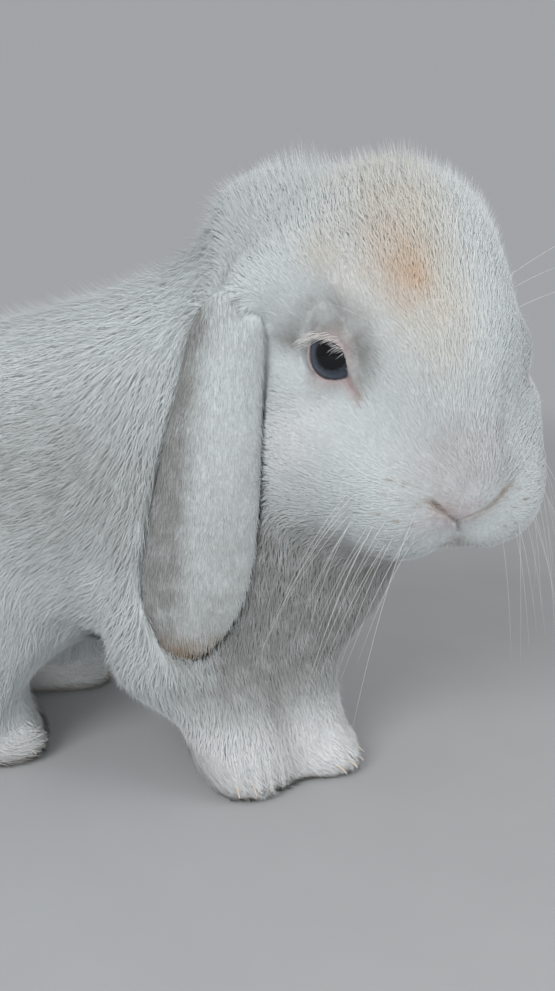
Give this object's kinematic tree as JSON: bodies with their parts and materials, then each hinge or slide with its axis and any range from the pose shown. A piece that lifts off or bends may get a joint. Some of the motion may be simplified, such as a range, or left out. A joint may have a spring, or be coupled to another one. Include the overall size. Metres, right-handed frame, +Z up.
{
  "type": "lop rabbit",
  "caption": "Life-size lop-eared rabbit sitting with forelegs straight and head turned to its right, ears hanging beside the cheeks.",
  "frame": {"origin": "on the floor, under the middle of the rabbit's bounding box", "axes": "+Z up; +X towards the chest, along the length of the body; +Y towards the rabbit's left side; the head is turned towards -Y"},
  "size_m": [0.305, 0.1468, 0.2129],
  "materials": {
    "fur": "soft dense fur, white with a faint warm cast, matt",
    "eye": "wet, glossy, dark blue-black",
    "claw": "pale horn, slightly worn"
  },
  "bodies": {
    "root": {"ear_left": "fur", "ear_right": "fur", "eye_left": "eye", "eye_right": "eye", "foreleg_left": "fur", "foreleg_right": "fur", "forepaw_left": "fur", "forepaw_left_claw_1": "claw", "forepaw_left_claw_2": "claw", "forepaw_left_claw_3": "claw", "forepaw_left_claw_4": "claw", "forepaw_right": "fur", "forepaw_right_claw_1": "claw", "forepaw_right_claw_2": "claw", "forepaw_right_claw_3": "claw", "forepaw_right_claw_4": "claw", "head": "fur", "hind_foot_left": "fur", "hind_foot_left_claw_1": "claw", "hind_foot_left_claw_2": "claw", "hind_foot_left_claw_3": "claw", "hind_foot_left_claw_4": "claw", "hind_foot_right": "fur", "hind_foot_right_claw_1": "claw", "hind_foot_right_claw_2": "claw", "hind_foot_right_claw_3": "claw", "hind_foot_right_claw_4": "claw", "neck": "fur", "tail": "fur", "thigh_left": "fur", "thigh_right": "fur", "trunk": "fur"}
  },
  "joints": []
}
